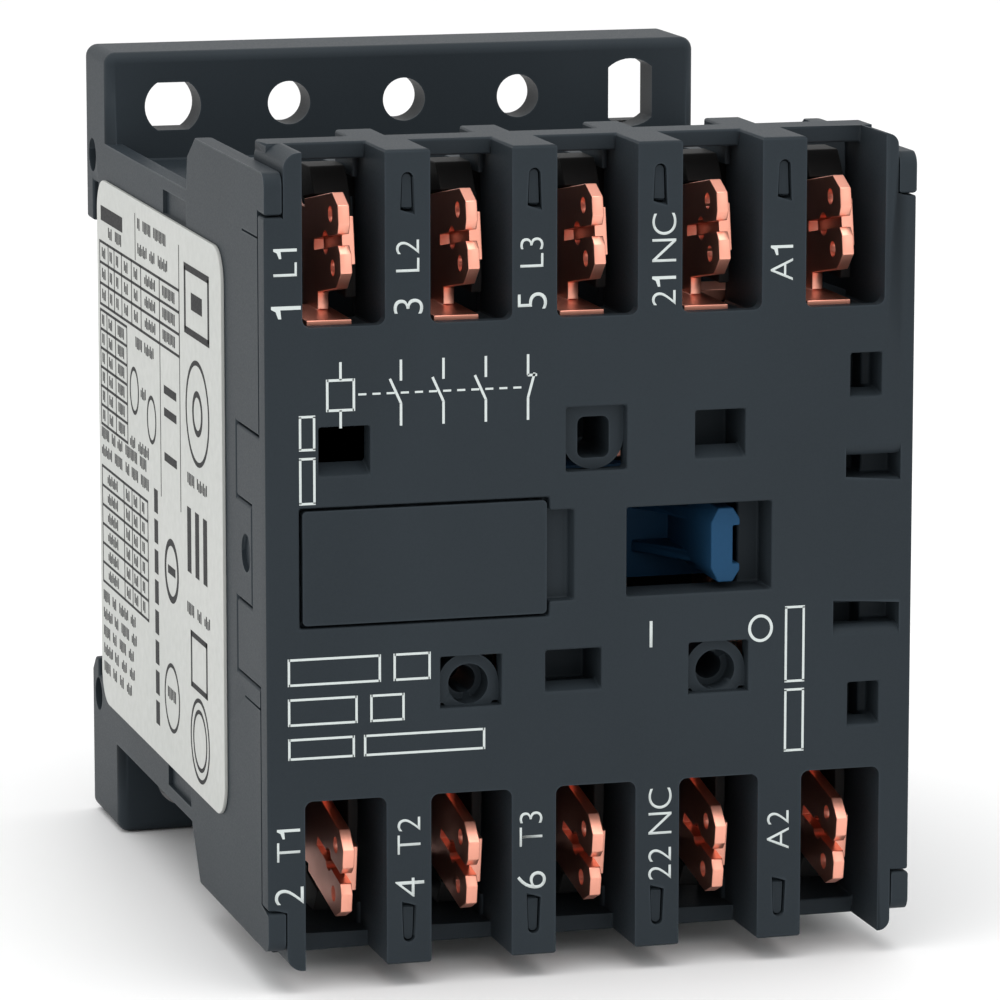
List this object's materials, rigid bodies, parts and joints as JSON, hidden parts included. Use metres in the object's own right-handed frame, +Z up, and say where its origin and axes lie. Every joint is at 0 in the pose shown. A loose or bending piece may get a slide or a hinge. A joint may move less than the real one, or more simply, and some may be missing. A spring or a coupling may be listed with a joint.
{
  "type": "din rail contactor",
  "caption": "Compact three-pole contactor for a 35 mm rail, with tab terminals, a sliding contact carrier seen in a front window, and a screw-on flange above and below.",
  "frame": {"origin": "middle of the rear face, on the rear plane of both flanges, at half the height between the fixing holes", "axes": "+X to the right seen from the front, front faces -Y, +Z up"},
  "size_m": [0.0452, 0.057, 0.058],
  "materials": {
    "housing_black": "fine satin moulded thermoplastic, dark blue grey",
    "guard_black": "matt dark grey moulded plastic",
    "label_grey": "satin light grey label",
    "carrier_blue": "satin blue moulded plastic",
    "copper": "stamped copper alloy",
    "contact_silver": "silver alloy",
    "core_steel": "laminated silicon steel",
    "spring_steel": "spring steel wire",
    "pad_rubber": "soft black rubber",
    "bobbin_white": "natural glass-filled plastic",
    "winding_copper": "enamelled copper wire",
    "tape_amber": "amber film tape"
  },
  "bodies": {
    "housing": {"rear_base": "housing_black", "front_cover": "housing_black", "contact_base": "housing_black", "rating_label": "label_grey", "line_terminal_1": "copper", "line_terminal_2": "copper", "line_terminal_3": "copper", "load_terminal_1": "copper", "load_terminal_2": "copper", "load_terminal_3": "copper", "aux_terminal_21": "copper", "aux_terminal_22": "copper", "coil_terminal_a1": "copper", "coil_terminal_a2": "copper", "upper_terminal_guard": "guard_black", "lower_terminal_guard": "guard_black", "fixed_contact_tips": "contact_silver", "fixed_core": "core_steel", "shading_rings": "copper", "core_pads": "pad_rubber", "coil_bobbin": "bobbin_white", "coil_winding": "winding_copper", "coil_tape": "tape_amber", "coil_lead_a1": "winding_copper", "coil_lead_a2": "winding_copper", "return_springs": "spring_steel"},
    "carrier": {"contact_carrier": "carrier_blue", "armature": "core_steel", "armature_pin": "spring_steel", "contact_spring_pole_1": "spring_steel", "contact_spring_pole_2": "spring_steel", "contact_spring_pole_3": "spring_steel", "contact_spring_aux": "spring_steel"},
    "bridge_pole_1_body": {"bridge_pole_1": "copper", "bridge_tips_pole_1": "contact_silver"},
    "bridge_pole_2_body": {"bridge_pole_2": "copper", "bridge_tips_pole_2": "contact_silver"},
    "bridge_pole_3_body": {"bridge_pole_3": "copper", "bridge_tips_pole_3": "contact_silver"},
    "bridge_aux_body": {"bridge_aux": "copper", "bridge_tips_aux": "contact_silver"},
    "marker": {"marker_plate": "housing_black"},
    "rail_clip": {"rail_spring": "spring_steel"}
  },
  "joints": [
    {"name": "carrier_slide", "type": "slide", "parent": "housing", "child": "carrier", "axis": [-1, 0, 0], "range_m": [0, 0.0035], "stiffness_N_per_m": 400, "springref_m": -0.008, "deforming": ["return_springs"]},
    {"name": "bridge_slide_pole_1", "type": "slide", "parent": "carrier", "child": "bridge_pole_1_body", "axis": [1, 0, 0], "range_m": [0, 0.0008], "deforming": ["contact_spring_pole_1"]},
    {"name": "bridge_slide_pole_2", "type": "slide", "parent": "carrier", "child": "bridge_pole_2_body", "axis": [1, 0, 0], "range_m": [0, 0.0008], "deforming": ["contact_spring_pole_2"]},
    {"name": "bridge_slide_pole_3", "type": "slide", "parent": "carrier", "child": "bridge_pole_3_body", "axis": [1, 0, 0], "range_m": [0, 0.0008], "deforming": ["contact_spring_pole_3"]},
    {"name": "bridge_slide_aux", "type": "slide", "parent": "carrier", "child": "bridge_aux_body", "axis": [1, 0, 0], "range_m": [0, 0.0008], "deforming": ["contact_spring_aux"]},
    {"name": "marker_pull", "type": "slide", "parent": "housing", "child": "marker", "axis": [0, -1, 0], "range_m": [0, 0.006]},
    {"name": "rail_spring_flex", "type": "slide", "parent": "housing", "child": "rail_clip", "axis": [0, 0, 1], "range_m": [0, 0.0009], "stiffness_N_per_m": 2000, "springref_m": -0.0003}
  ],
  "couplings": [
    {"joint": "bridge_slide_pole_1", "follows": "carrier_slide", "ratio": 0.22857},
    {"joint": "bridge_slide_pole_2", "follows": "carrier_slide", "ratio": 0.22857},
    {"joint": "bridge_slide_pole_3", "follows": "carrier_slide", "ratio": 0.22857},
    {"joint": "bridge_slide_aux", "follows": "carrier_slide", "ratio": 0.22857}
  ]
}
